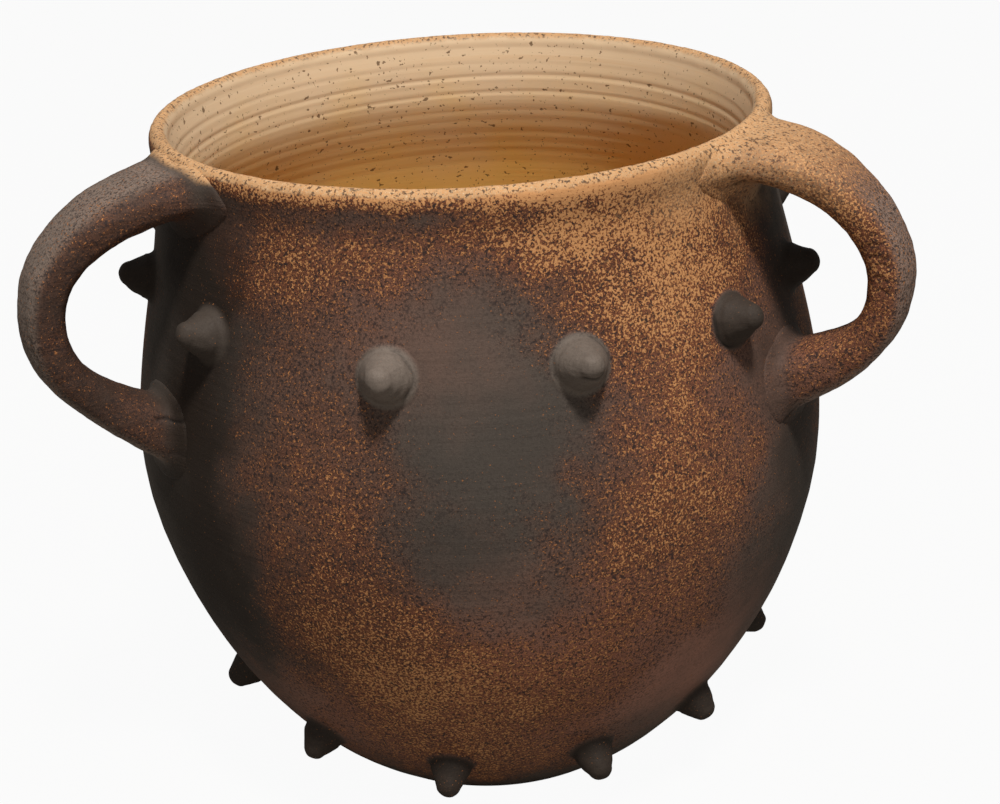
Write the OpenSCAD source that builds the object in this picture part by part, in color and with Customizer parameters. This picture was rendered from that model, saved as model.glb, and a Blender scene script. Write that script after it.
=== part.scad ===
// A thrown clay cauldron: a round-bellied pot with two pulled strap handles and two rows of
// pressed-on studs. Millimetres, +Z up, the origin at the centre of the foot, and the side
// between the two handles, the front, towards -Y.

/* [Pot body] */
// Height of the pot, from the ground to the top of the lip
pot_h = 292; // [285:1:310]
// Radius of the flat foot
foot_r = 79; // [70:1:88]
// Radius of the belly at its widest
belly_r = 150; // [144:1:158]
// Height of the widest part of the belly
belly_z = 151; // [142:1:160]
// Outer radius of the neck, under the lip
neck_r = 126; // [120:1:131]
// How far below the lip's top the neck is narrowest
neck_drop = 17; // [13:1:24]
// Outer radius of the lip
lip_r = 127; // [122:1:134]
// Thickness of the lip
lip_t = 8; // [6:0.5:11]
// Height of the lip's rounded band
lip_h = 6; // [4:0.5:9]
// Thickness of the thrown wall
wall = 8; // [6:0.5:11]
// Thickness of the floor
floor_t = 10; // [7:0.5:14]
// Radius of the floor's flat middle, inside
floor_flat_r = 47; // [38:1:56]
// Rounding of the foot's edge
foot_edge = 2; // [1:0.5:4]

/* [Throwing rings] */
// Height of one finger ring on the inside
ring_pitch = 6; // [5:0.5:9]
// Depth of the finger rings
ring_depth = 0.7; // [0.2:0.1:1.2]
// How far below the lip's band the rings start
ring_start = 6; // [3:1:12]

/* [Handles] */
// Angle of each handle from the front
handle_turn = 60; // [56:1:64]
// Width of both straps at their slimmest
strap_w = 24; // [20:1:28]
// Thickness of both straps at their slimmest
strap_t = 15.5; // [13:0.5:18]
// Width of each lower root, pressed onto the wall
strap_root_w = 37; // [30:1:44]

/* [Left handle] */
// How far the strap's outermost point stands out past the belly, at the strap's middle
left_stand = 36.5; // [31:0.5:43]
// How far below the lip's top the strap's middle leaves the pot
left_drop = 11.5; // [11:0.5:17]
// How far below the lip's top the outermost point is
left_bend_drop = 57; // [50:1:63]
// How far below the lip's top the lower root is pressed on
left_root_drop = 110; // [104:1:115]
// Pull of the strap straight out of the lip
left_pull = 45; // [38:1:50]
// Rise of that pull
left_pull_rise = 0; // [0:1:8]
// Straight run above the outermost point
left_above = 30; // [24:1:36]
// Straight run below the outermost point
left_below = 22; // [16:1:28]
// Slant of the strap onto the wall, outwards
left_land = 34; // [28:1:40]
// Slant of the strap onto the wall, upwards
left_land_rise = 24; // [18:1:30]
// Spread of the strap where it is pulled out of the lip
left_spread = 86; // [68:1:92]
// Extra thickness of the top root
left_top_extra = 4.5; // [3:0.5:7]
// Extra thickness of the lower root
left_root_extra = 12; // [7:0.5:15]

/* [Right handle] */
// How far the strap's outermost point stands out past the belly, at the strap's middle
right_stand = 33.5; // [29:0.5:39]
// How far below the lip's top the strap's middle leaves the pot
right_drop = 12; // [11:0.5:17]
// How far below the lip's top the outermost point is
right_bend_drop = 54; // [47:1:60]
// How far below the lip's top the lower root is pressed on
right_root_drop = 98; // [93:1:104]
// Pull of the strap straight out of the lip
right_pull = 38; // [32:1:44]
// Rise of that pull
right_pull_rise = 9; // [2:1:12]
// Straight run above the outermost point
right_above = 24; // [18:1:30]
// Straight run below the outermost point
right_below = 13; // [9:1:18]
// Slant of the strap onto the wall, outwards
right_land = 50; // [42:1:56]
// Slant of the strap onto the wall, upwards
right_land_rise = 18; // [12:1:24]
// Spread of the strap where it is pulled out of the lip
right_spread = 82; // [68:1:90]
// Extra thickness of the top root
right_top_extra = 4; // [3:0.5:8]
// Extra thickness of the lower root
right_root_extra = 14; // [8:0.5:16]

/* [Studs] */
// Number of studs in a full row
studs_in_row = 12; // [12]
// Radius of a stud's rounded tip
stud_tip_r = 5.2; // [4:0.1:6.5]

/* [Upper studs] */
// How far below the lip's top the upper row is pressed on
upper_below_lip = 61; // [56:1:67]
// Angle of the row's first stud from the front
upper_turn = -75; // [-78:1:-72]
// Rise of the studs above the level
upper_rise = 20; // [10:1:28]
// How far a stud stands out of the wall
upper_len = 15; // [12:0.5:18]
// Radius of a stud's body where it leaves its smeared foot
upper_r = 9; // [7.5:0.1:10]
// Radius of the clay smeared out round a stud's foot
upper_foot_r = 12.6; // [11.5:0.1:14]

/* [Lower studs] */
// Height of the lower row on the wall
lower_z = 44; // [38:1:50]
// Angle of the row's first stud from the front
lower_turn = -70; // [-74:1:-66]
// Drop of the studs below the level
lower_drop = 34; // [24:1:40]
// How far a stud stands out of the wall
lower_len = 14; // [11:0.5:17]
// Radius of a stud's body where it leaves its smeared foot
lower_r = 8.2; // [7:0.1:9.5]
// Radius of the clay smeared out round a stud's foot
lower_foot_r = 11; // [10:0.1:13]

/* [Hidden] */
$fn = 96;
stud_fn = 48;
curve_steps = 14;
neck_steps = 4;
lip_steps = 6;
floor_steps = 8;
ring_points = 2;
handle_rings = 34;
handle_sides = 20;
smear_steps = 5;
tip_steps = 6;
// how far the hidden end of a handle or a stud runs on inside the wall before it is cut off
bury = 12;
stud_bury = 5;
// angle at which a stud's straight side runs into its rounded tip
tip_from = 16;
// how square the strap's section is: 2 is an ellipse, more is squarer
strap_square = 2.9;
// shares of the strap's length over which it slims down from its top root and from its lower root
top_share = 0.5;
root_share = 0.3;
// how far the clay smeared round a stud's foot reaches up its side, and how thick and wide it is there
smear_h = 4;
smear_t = 0.8;
smear_side = 0.4;

// Placed by eye on the wet pot, so each stud is a little off the even spacing:
// turn in degrees, lift in millimetres, and the share of the full length
upper_hand = [
    [0, 4, 0.92], [-2, 1, 0.94], [2.5, -1, 1], [0.5, 0, 1.04], [0.5, 0, 0.94], [-5, -1, 0.86],
    [1, -2, 1.02], [-1.5, 1, 0.96], [0, 2, 1], [2, -1, 0.98], [-1, 1, 1.03], [0.5, 2, 0.97]
];
lower_hand = [
    [-0.5, 1.5, 0.84], [1.5, 1, 0.94], [0.3, -3, 1.02], [0.2, -3, 1], [-3.5, 1, 0.86], [0, 3.2, 0.84],
    [-1, 2, 1], [1, 0, 0.96], [0.5, -2, 1.02], [-1.5, 0, 1], [1, 2, 0.97], [-0.5, 1, 1.03]
];

UPPER = [for (i = [1:studs_in_row]) str("stud_upper_", i)];
LOWER = [for (i = [1:studs_in_row]) str("stud_lower_", i)];

// curves
function cubic(a, b, c, d, t) =
    pow(1 - t, 3) * a + 3 * pow(1 - t, 2) * t * b + 3 * (1 - t) * t * t * c + t * t * t * d;
function quadratic(a, b, c, t) = (1 - t) * (1 - t) * a + 2 * (1 - t) * t * b + t * t * c;
function cubic_run(a, b, c, d, n) = [for (i = [0:n]) cubic(a, b, c, d, i / n)];
function after_first(points) = [for (i = [1:len(points) - 1]) points[i]];

// the outer outline of the pot, from the foot to the lip, as [radius, height]
foot_start = [foot_r, foot_edge];
belly = [belly_r, belly_z];
neck = [neck_r, pot_h - neck_drop];
lip_start = [lip_r, pot_h - lip_h];
foot_flare = [29, 18];
below_belly = [0, 64];
above_belly = [0, 45];
below_neck = [4.5, -37];
lower_curve = cubic_run(foot_start, foot_start + foot_flare, belly - below_belly, belly, curve_steps);
upper_curve = cubic_run(belly, belly + above_belly, neck + below_neck, neck, curve_steps);
neck_curve = [for (i = [1:neck_steps]) let (t = i / neck_steps, s = (1 - cos(180 * t)) / 2)
    [neck_r + (lip_r - neck_r) * s, neck[1] + (lip_start[1] - neck[1]) * t]];
lip_round = lip_t / 2;
lip_curve = [for (i = [1:2 * lip_steps]) let (a = 90 * i / lip_steps)
    [lip_r - lip_round + lip_round * cos(a), pot_h - lip_h + lip_h * sin(a)]];
outer_line = concat([[foot_r - foot_edge, 0]], lower_curve, after_first(upper_curve), neck_curve);
wall_line = [for (p = outer_line) [p[1], p[0]]];
function wall_r(z) = lookup(z, wall_line);

// the inner outline: the wall's thickness taken square to the outer line, with finger rings
slope_step = 2;
function wall_slope(z) = (wall_r(z + slope_step) - wall_r(z - slope_step)) / (2 * slope_step);
rings_top = pot_h - lip_h - ring_start;
function ring(z) = ring_depth * (1 - cos(360 * (rings_top - z) / ring_pitch)) / 2;
function inner_r(z) = wall_r(z) - wall * sqrt(1 + pow(wall_slope(z), 2)) + ring(z);
// height at which the wall starts to turn into the floor, and how far it leans in from there
floor_rise = 34;
floor_lean = 0.9;
ring_step = ring_pitch / ring_points;
inner_wall = [for (z = [rings_top:-ring_step:floor_rise]) [inner_r(z), z]];
inner_foot = inner_wall[len(inner_wall) - 1];
floor_corner = [inner_foot[0] - (inner_foot[1] - floor_t) * floor_lean, floor_t];
floor_curve = [for (i = [1:floor_steps])
    quadratic(inner_foot, floor_corner, [floor_flat_r, floor_t], i / floor_steps)];

// the pot filled up to its outer line, and above its lip: what is pressed onto it is cut to this
module pot_solid() {
    top_z = pot_h + bury;
    rim_top = [for (i = [0:lip_steps - 1]) lip_curve[i]];
    rotate_extrude()
        polygon(concat([[0, 0]], outer_line, rim_top, [[lip_r - lip_round, top_z], [0, top_z]]));
}

module pot_body() {
    color("#5a4536")
    rotate_extrude()
        polygon(concat([[0, 0]], outer_line, lip_curve, inner_wall, floor_curve, [[0, floor_t]]));
}

// a strap section: a rounded rectangle, wider than thick, with its corners along a power curve
function power(v) = sign(v) * pow(abs(v), 2 / strap_square);
function section(w, t) = [for (i = [0:handle_sides - 1]) let (a = 360 * (i + 0.5) / handle_sides)
    [w / 2 * power(cos(a)), t / 2 * power(sin(a))]];

// a strap's middle line in its own upright plane, as [distance from the axis, height]: out of the
// lip, round its outermost point, the bend, and slanting onto the wall
function strap_line(drop, root_drop, bend, pull, above, below, land) =
    let (top = pot_h - drop,
         low = pot_h - root_drop,
         start = [wall_r(top) - bury, top],
         end = [wall_r(low) - bury, low - bury / 2],
         half = handle_rings / 2)
    concat(
        cubic_run(start, start + pull, bend + [0, above], bend, half),
        after_first(cubic_run(bend, bend - [0, below], end + land, end, half))
    );
left_line = strap_line(
    left_drop, left_root_drop, [belly_r + left_stand, pot_h - left_bend_drop],
    [left_pull, left_pull_rise], left_above, left_below, [left_land, left_land_rise]
);
right_line = strap_line(
    right_drop, right_root_drop, [belly_r + right_stand, pot_h - right_bend_drop],
    [right_pull, right_pull_rise], right_above, right_below, [right_land, right_land_rise]
);
// 1 at a root, falling smoothly to 0 at the given share of the strap's length
function near_root(u, reach) = u > reach ? 0 : pow(1 - u / reach, 2);
function strap_width(u, spread) =
    strap_w + (spread - strap_w) * near_root(u, top_share)
    + (strap_root_w - strap_w) * near_root(1 - u, root_share);
function strap_thick(u, top_extra, root_extra) =
    strap_t + top_extra * near_root(u, top_share) + root_extra * near_root(1 - u, root_share);

// one ring of points, w wide and t thick, square to the middle line at its point i
function strap_ring(line, i, w, t) =
    let (step = line[min(i + 1, len(line) - 1)] - line[max(i - 1, 0)],
         along = step / norm(step),
         out = [-along[1], along[0]])
    [for (q = section(w, t)) [line[i][0] + out[0] * q[1], q[0], line[i][1] + out[1] * q[1]]];

module strap(line, spread, top_extra, root_extra) {
    n = len(line);
    m = handle_sides;
    points = [for (i = [0:n - 1]) let (u = i / (n - 1))
        each strap_ring(line, i, strap_width(u, spread), strap_thick(u, top_extra, root_extra))];
    sides = [for (i = [0:n - 2], j = [0:m - 1])
        [i * m + j, (i + 1) * m + j, (i + 1) * m + (j + 1) % m, i * m + (j + 1) % m]];
    start_cap = [for (j = [0:m - 1]) j];
    end_cap = [for (j = [m - 1:-1:0]) (n - 1) * m + j];
    polyhedron(points, concat(sides, [start_cap, end_cap]), convexity = 6);
}

// stands what is drawn along +X at an angle from the front, cut to the pot's own outline
module pressed_on(angle) {
    difference() {
        rotate([0, 0, angle - 90]) children();
        pot_solid();
    }
}

module handle_left() {
    color("#3d332d")
    pressed_on(-handle_turn) strap(left_line, left_spread, left_top_extra, left_root_extra);
}

module handle_right() {
    color("#8a6240")
    pressed_on(handle_turn) strap(right_line, right_spread, right_top_extra, right_root_extra);
}

// half the outline of one stud, from its buried end to the top of its tip
function stud_outline(length, body_r, foot_r) =
    let (tip = length - stud_tip_r)
    concat(
        [[0, -stud_bury], [foot_r, -stud_bury], [foot_r, 0]],
        [for (i = [1:smear_steps])
            quadratic([foot_r, 0], [body_r + smear_side, smear_t], [body_r, smear_h], i / smear_steps)],
        [for (i = [0:tip_steps]) let (a = tip_from + (90 - tip_from) * i / tip_steps)
            [stud_tip_r * cos(a), tip + stud_tip_r * sin(a)]]
    );

module stud(angle, z, rise, length, body_r, foot_r) {
    pressed_on(angle) translate([wall_r(z), 0, z]) rotate([0, 90 - rise, 0])
        rotate_extrude($fn = stud_fn) polygon(stud_outline(length, body_r, foot_r));
}

// the places of one row's studs, as [angle, height, length]
function row(turn, z, length, hand) = [for (i = [0:studs_in_row - 1])
    [turn + i * 360 / studs_in_row + hand[i][0], z + hand[i][1], length * hand[i][2]]];
upper_row = row(upper_turn, pot_h - upper_below_lip, upper_len, upper_hand);
lower_row = row(lower_turn, lower_z, lower_len, lower_hand);

module stud_upper(i) {
    place = upper_row[i];
    color("#3a322d") stud(place[0], place[1], upper_rise, place[2], upper_r, upper_foot_r);
}

module stud_lower(i) {
    place = lower_row[i];
    color("#2b2724") stud(place[0], place[1], -lower_drop, place[2], lower_r, lower_foot_r);
}

pot_body();
handle_left();
handle_right();
for (i = [0:studs_in_row - 1]) {
    stud_upper(i);
    stud_lower(i);
}
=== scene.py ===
"""Looks for the clay cauldron: the thrown pot, its two pulled handles and its two rows of studs,
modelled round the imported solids, and the fired clay and cream glaze that cover them."""

import math
import random
from functools import partial

import bpy
import numpy as np
from bpy.props import FloatProperty, FloatVectorProperty, IntProperty, PointerProperty
from mathutils import Matrix, Vector, noise
from mathutils.bvhtree import BVHTree


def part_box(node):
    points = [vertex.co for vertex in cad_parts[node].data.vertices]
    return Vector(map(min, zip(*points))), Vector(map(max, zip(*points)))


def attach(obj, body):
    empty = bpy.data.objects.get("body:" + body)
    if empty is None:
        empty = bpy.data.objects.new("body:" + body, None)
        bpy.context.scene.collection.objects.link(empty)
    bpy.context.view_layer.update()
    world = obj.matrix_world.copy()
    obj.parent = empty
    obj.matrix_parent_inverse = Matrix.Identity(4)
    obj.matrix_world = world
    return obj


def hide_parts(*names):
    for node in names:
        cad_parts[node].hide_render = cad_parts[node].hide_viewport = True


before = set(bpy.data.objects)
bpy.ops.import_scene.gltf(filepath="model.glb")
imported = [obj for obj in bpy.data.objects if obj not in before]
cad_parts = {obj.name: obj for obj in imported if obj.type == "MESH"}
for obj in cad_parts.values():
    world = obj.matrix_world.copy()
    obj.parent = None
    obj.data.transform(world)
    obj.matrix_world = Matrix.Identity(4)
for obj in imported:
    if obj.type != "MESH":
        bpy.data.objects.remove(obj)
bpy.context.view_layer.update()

bl_info = {
    "name": "Clay cauldron",
    "version": (1, 0, 0),
    "blender": (4, 5, 0),
    "location": "View3D > Sidebar > Cauldron",
    "description": "Throws the pot, pulls its handles, presses its studs on and fires them",
    "category": "Add Mesh",
}

MM = 0.001
POT_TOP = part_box("pot_body")[1][2]


# Sizes and colours


def linear(code):
    """A screen colour such as #c98a48 as the linear colour that a shader takes."""
    parts = [int(code[i:i + 2], 16) / 255 for i in (1, 3, 5)]
    return tuple(p / 12.92 if p <= 0.04045 else ((p + 0.055) / 1.055) ** 2.4 for p in parts)


def length(name, about, default):
    return FloatProperty(name=name, description=about, default=default, unit="LENGTH", precision=4)


def colour(name, about, code):
    return FloatVectorProperty(
        name=name, description=about, default=linear(code), size=3, subtype="COLOR", min=0, max=1)


class CAULDRON_PG_pot(bpy.types.PropertyGroup):
    steps: IntProperty(name="Steps round", description="Steps of the outline's spin", default=360, min=60, max=400)
    groove: length("Groove depth", "Depth of the deepest finger groove inside", 0.4 * MM)
    groove_width: length("Groove width", "Half the width of a finger groove", 0.9 * MM)
    drift: length("Groove drift", "How far the grooves wander up and down round the pot", 1.2 * MM)
    grit: length("Lip grit", "How far grit roughens the lip's edge", 0.22 * MM)
    collar: length("Collar", "How far the inside leans in below the lip", 4.2 * MM)
    ripple: length("Ripple", "How far the wall is off the true round", 0.22 * MM)


# Each size of a handle, as (key, name, description, left, right), in mm
HANDLE_SIZES = [
    ("stand", "Stand", "From the axis to the strap's outermost middle", 186.1, 182.8),
    ("drop", "Drop", "From the lip's top to the strap's middle where it leaves the pot", 11.5, 12),
    ("bend_drop", "Bend drop", "From the lip's top to the outermost point", 57, 54),
    ("root_drop", "Root drop", "From the lip's top to the lower root", 110, 98),
    ("pull", "Pull", "Pull of the strap straight out of the lip", 45, 38),
    ("pull_rise", "Pull rise", "Rise of that pull", 0, 9),
    ("above", "Above", "Straight run above the outermost point", 30, 24),
    ("below", "Below", "Straight run below the outermost point", 22, 13),
    ("land", "Landing", "Slant of the strap onto the wall, outwards", 34, 50),
    ("land_rise", "Landing rise", "Slant of the strap onto the wall, upwards", 24, 18),
    ("spread", "Spread", "Width of the strap where it leaves the lip", 56, 60),
    ("top_extra", "Top extra", "Extra thickness of the top root", 4.5, 4),
    ("root_extra", "Root extra", "Extra thickness of the lower root", 12, 14)]


def handle_sizes(side):
    """The properties of the left (0) or the right (1) handle."""
    return {key: length(name, about, sizes[side] * MM) for key, name, about, *sizes in HANDLE_SIZES}


class CAULDRON_PG_left_handle(bpy.types.PropertyGroup):
    __annotations__ = handle_sizes(0)


class CAULDRON_PG_right_handle(bpy.types.PropertyGroup):
    __annotations__ = handle_sizes(1)


class CAULDRON_PG_straps(bpy.types.PropertyGroup):
    width: length("Width", "Width of both straps at their slimmest", 24 * MM)
    thickness: length("Thickness", "Thickness of both straps at their slimmest", 15.5 * MM)
    root_width: length("Root width", "Width of each lower root on the wall", 37 * MM)
    smear: length("Smear", "How far the strap's clay is smeared out onto the wall", 6 * MM)
    top_smear: length("Top smear", "The same at the lip", 10 * MM)
    feather: FloatProperty(
        name="Feather", description="Share by which a strap thins from below to its edges at the lip", default=0.35)
    square: FloatProperty(name="Squareness", description="2 is an ellipse, more is squarer", default=2.9)


class CAULDRON_PG_studs(bpy.types.PropertyGroup):
    tip: length("Tip", "Radius of a stud's rounded tip", 5.2 * MM)
    upper_body: length("Upper body", "Radius of an upper stud above its smeared foot", 9 * MM)
    upper_foot: length("Upper foot", "Radius of the clay smeared out round an upper stud", 12.6 * MM)
    upper_rise: FloatProperty(
        name="Upper rise", description="Rise of the upper studs", default=math.radians(20), subtype="ANGLE")
    lower_body: length("Lower body", "Radius of a lower stud above its smeared foot", 8.2 * MM)
    lower_foot: length("Lower foot", "Radius of the clay smeared out round a lower stud", 11 * MM)
    lower_rise: FloatProperty(
        name="Lower rise", description="Rise of the lower studs", default=math.radians(-34), subtype="ANGLE")


class CAULDRON_PG_finish(bpy.types.PropertyGroup):
    # The charred clay also serves as the painted shade under both handles
    char: colour("Charred clay", "Dark slip where the fire turned it black-brown", "#2b231d")
    ash: colour("Ashen clay", "Smooth grey-brown slip at the front", "#4b443e")
    mauve: colour("Mauve clay", "Red-brown slip low on the belly", "#966a59")
    brown: colour("Rusty clay", "Slip where much iron came through", "#6e3b20")
    rust: colour("Rust", "Iron specks in the slip", "#8c5229")
    pale_rust: colour("Pale rust", "The brightest iron specks", "#c5905f")
    tan: colour("Tan clay", "Bare clay on the lip and the right handle's root", "#c09c75")
    # Pale bloom, and also painted light: it pales faces that catch the lamp, such as the handles' tops and the lit
    # studs
    dust: colour("Dusted clay", "Pale bloom on the studs and the handles' tops", "#93857a")
    blue_black: colour("Blue-black grains", "Dark grains in the slip and the bare clay", "#2c2626")
    # Painted shade in the cracks and creases
    soot: colour("Soot", "Cracks and creases", "#15110f")
    cream: colour("Cream glaze", "Glaze near the lip", "#d6bb99")
    honey: colour("Honey glaze", "Glaze half-way down", "#deb464")
    amber: colour("Amber glaze", "Glaze where it pools low down", "#c88528")
    iron: colour("Iron specks", "Specks in the glaze", "#5a4028")
    floor: colour("Floor", "The pale floor, as the light sees it", "#8d8983")


# Drawing and shaping


def deselect():
    if bpy.context.mode != "OBJECT":
        bpy.ops.object.mode_set(mode="OBJECT")
    bpy.ops.object.select_all(action="DESELECT")


def take(piece):
    """Makes a piece the only one selected, and the active one."""
    deselect()
    piece.select_set(True)
    bpy.context.view_layer.objects.active = piece


def finish_modifier(piece, modifier):
    take(piece)
    bpy.ops.object.modifier_apply(modifier=modifier.name)


def link_new(name, data):
    """Puts a new object with some data into the scene."""
    added = bpy.data.objects.new(name, data)
    bpy.context.scene.collection.objects.link(added)
    return added


def cover(piece, material):
    """Smooths a finished piece's shading and gives it its one material."""
    take(piece)
    bpy.ops.object.shade_smooth()
    piece.data.materials.clear()
    piece.data.materials.append(material)


def read_triples(entries, key):
    flat = np.empty(len(entries) * 3)
    entries.foreach_get(key, flat)
    return flat.reshape(-1, 3)


def points_of(piece):
    return read_triples(piece.data.vertices, "co")


def normals_of(piece):
    return read_triples(piece.data.vertex_normals, "vector")


def radius_of(points):
    """Each point's distance from the pot's axis."""
    return np.hypot(points[:, 0], points[:, 1])


def turn_of(points):
    """Each point's turn round the axis, 0 towards the camera."""
    return np.arctan2(points[:, 0], -points[:, 1])


def move_points(piece, points):
    piece.data.vertices.foreach_set("co", points.astype(np.float32).ravel())
    piece.data.update()


def note(piece, name, values):
    """Keeps one number for each point of a piece, for its shape or its material."""
    layer = piece.data.attributes.get(name) or piece.data.attributes.new(name, "FLOAT", "POINT")
    layer.data.foreach_set("value", np.asarray(values, dtype=np.float32))


def noted(piece, name):
    values = np.empty(len(piece.data.vertices), dtype=np.float32)
    piece.data.attributes[name].data.foreach_get("value", values)
    return values


def smooth_step(value, low, high):
    share = np.clip((value - low) / (high - low), 0, 1)
    return share * share * (3 - 2 * share)


def lumps(points, size, seed):
    """Smooth noise between about -1 and 1 at each point, in lumps of a size."""
    shift = Vector((seed * 7.31, seed * 3.17, seed * 5.71))
    return np.array([noise.noise(Vector(p) / size + shift) for p in points.tolist()])


def spin_outline(name, outline, steps):
    """Draws an outline of (radius, height) points edge by edge and spins it round the axis."""
    deselect()
    bpy.ops.mesh.primitive_plane_add(size=MM, location=(0, 0, 0))
    piece = bpy.context.object
    piece.name = name
    piece.data.name = name
    bpy.ops.object.mode_set(mode="EDIT")
    bpy.ops.mesh.select_all(action="SELECT")
    bpy.ops.mesh.merge(type="CENTER")
    bpy.ops.transform.translate(value=(outline[0][0], 0, outline[0][1]))
    for before, after in zip(outline, outline[1:]):
        move = (after[0] - before[0], 0, after[1] - before[1])
        bpy.ops.mesh.extrude_vertices_move(TRANSFORM_OT_translate={"value": move})
    bpy.ops.mesh.select_all(action="SELECT")
    bpy.ops.mesh.spin(steps=steps, angle=2 * math.pi, center=(0, 0, 0), axis=(0, 0, 1))
    bpy.ops.mesh.select_all(action="SELECT")
    bpy.ops.mesh.remove_doubles(threshold=0.01 * MM)
    bpy.ops.mesh.normals_make_consistent(inside=False)
    bpy.ops.object.mode_set(mode="OBJECT")
    return piece


def draw_up(name, sides, stations, axis, section=None):
    """Draws a closed body from a filled circle along an axis: each station is (how far along,
    half size across, half size the other way)."""
    along = {"X": Vector((1, 0, 0)), "Z": Vector((0, 0, 1))}[axis]
    start = stations[0]
    deselect()
    bpy.ops.mesh.primitive_circle_add(
        vertices=sides, radius=1, fill_type="TRIFAN", location=(0, 0, 0),
        rotation=(0, math.pi / 2, 0) if axis == "X" else (0, 0, 0))
    piece = bpy.context.object
    piece.name = name
    piece.data.name = name
    bpy.ops.object.transform_apply(location=True, rotation=True, scale=True)
    if section:
        move_points(piece, section(points_of(piece)))
    bpy.ops.object.mode_set(mode="EDIT")
    bpy.ops.mesh.select_all(action="SELECT")

    def grow(first, second, place):
        size = (1, first, second) if axis == "X" else (first, second, 1)
        bpy.ops.transform.resize(value=size, center_override=tuple(along * place))

    grow(start[1], start[2], 0)
    bpy.ops.transform.translate(value=tuple(along * start[0]))
    for before, after in zip(stations, stations[1:]):
        bpy.ops.mesh.extrude_region_move(
            TRANSFORM_OT_translate={"value": tuple(along * (after[0] - before[0]))})
        grow(after[1] / before[1], after[2] / before[2], after[0])
    bpy.ops.mesh.select_all(action="SELECT")
    bpy.ops.mesh.normals_make_consistent(inside=False)
    bpy.ops.object.mode_set(mode="OBJECT")
    return piece


# The pot

# Finger grooves inside, as (how far below the lip's top in mm, share of the full depth)
UPPER_GROOVES = [
    (7.6, 0.22), (14, 0.3), (17.6, 0.15), (21.5, 1), (24.6, 0.2), (29.4, 0.85), (32.3, 0.15), (38.9, 0.25),
    (44, 0.2), (52.4, 0.15)]
LOWER_GROOVES_FROM = 63
# Places where a hand pressed the wet wall, as (turn in degrees, height, reach round in degrees,
# reach up, push outwards), in mm
PRESSES = [
    (-90, 286, 34, 34, 2.2), (-62, 85, 30, 34, -1.2), (66, 150, 24, 50, 0.8), (40, 262, 26, 20, -0.5),
    (150, 200, 40, 60, -0.8), (-140, 120, 40, 50, -0.7)]


def hand_push(points):
    """How far out the wet wall was pushed off the true round at each point."""
    pot = bpy.context.scene.cauldron_pot
    turn, height = turn_of(points), points[:, 2]
    push = pot.ripple * (
        np.sin(3 * turn + 1.1 + 38 * height) + 0.6 * np.sin(5 * turn - 0.4 - 63 * height)
        + 0.4 * np.sin(8 * turn + 2 + 110 * height) - 1.9)
    for degrees, up, reach, reach_up, out in PRESSES:
        off = (turn - math.radians(degrees) + math.pi) % (2 * math.pi) - math.pi
        spot = (off / math.radians(reach)) ** 2 + ((height - up * MM) / (reach_up * MM)) ** 2
        push = push + out * MM * np.exp(-spot)
    return push


class Wall:
    """The outer wall, measured from the solid pot."""

    FAR = 1.0
    STEP = 1 * MM

    def __init__(self):
        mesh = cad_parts["pot_body"].data
        self.skin = BVHTree.FromPolygons(
            [v.co for v in mesh.vertices], [tuple(face.vertices) for face in mesh.polygons])
        self.heights = np.arange(0.5 * MM, POT_TOP - 0.4 * MM, self.STEP)
        self.radii = np.array([self.outside(z) for z in self.heights])

    def outside(self, height):
        return self.cast((self.FAR, 0, height), (-1, 0, 0)).x

    def inside(self, height):
        return self.cast((0, 0, height), (1, 0, 0)).x

    def floor(self, radius):
        return self.cast((radius, 0, POT_TOP - 60 * MM), (0, 0, -1)).z

    def cast(self, start, way):
        place = self.skin.ray_cast(Vector(start), Vector(way))[0]
        if place is None:
            raise RuntimeError(f"no wall of pot_body was met from {tuple(start)}")
        return place

    def lip(self, angle, middle):
        return self.cast((middle[0], 0, middle[1]), (math.cos(angle), 0, math.sin(angle)))

    def radius(self, height):
        return np.interp(height, self.heights, self.radii)

    def slope(self, height):
        step = 2 * self.STEP
        return (self.radius(height + step) - self.radius(height - step)) / (2 * step)

    def distance(self, points):
        """How far points stand off the hand-made wall, square to it."""
        out = radius_of(points) - self.radius(points[:, 2]) - hand_push(points)
        return out / np.sqrt(1 + self.slope(points[:, 2]) ** 2)


WALL = Wall()


def pot_outline():
    """The pot's outline from the middle of its underside, up the wall, over the lip and down the
    inside to the middle of the floor."""
    collar = bpy.context.scene.cauldron_pot.collar
    foot = WALL.outside(2.2 * MM)
    under = [(0, 0), (26 * MM, 0), (52 * MM, 0), (70 * MM, 0), (foot - 2.4 * MM, 0)]
    edge = [(foot - 1.1 * MM, 0.25 * MM), (foot - 0.35 * MM, 1 * MM)]
    outside = [(WALL.outside(z), z) for z in np.arange(2.2 * MM, POT_TOP - 7 * MM, 4.2 * MM)]
    middle = (WALL.outside(POT_TOP - 6 * MM) - 4 * MM, POT_TOP - 6 * MM)
    lip = [WALL.lip(math.radians(a), middle) for a in range(-6, 187, 12)]
    over = [(p.x, p.z) for p in lip]
    inside = []
    height = POT_TOP - 8 * MM
    while height > 36 * MM:
        near = [WALL.inside(height + shift * MM) for shift in (-3, -2, -1, 0, 1, 2, 3)]
        level = np.mean(near) if height < POT_TOP - 14 * MM else WALL.inside(height)
        depth = POT_TOP - height
        level -= collar * min(1, max(0, depth / MM - 6) / 24) * smooth_step(depth, 70 * MM, 31 * MM)
        inside.append((float(level), height))
        height -= 0.8 * MM if depth < 60 * MM else 1.6 * MM if depth < 140 * MM else 5 * MM
    reach = inside[-1][0]
    floor = [(r, WALL.floor(r)) for r in np.linspace(reach - 4 * MM, 12 * MM, 13)]
    return under + edge + outside + over + inside + floor + [(0, floor[-1][1])]


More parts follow.
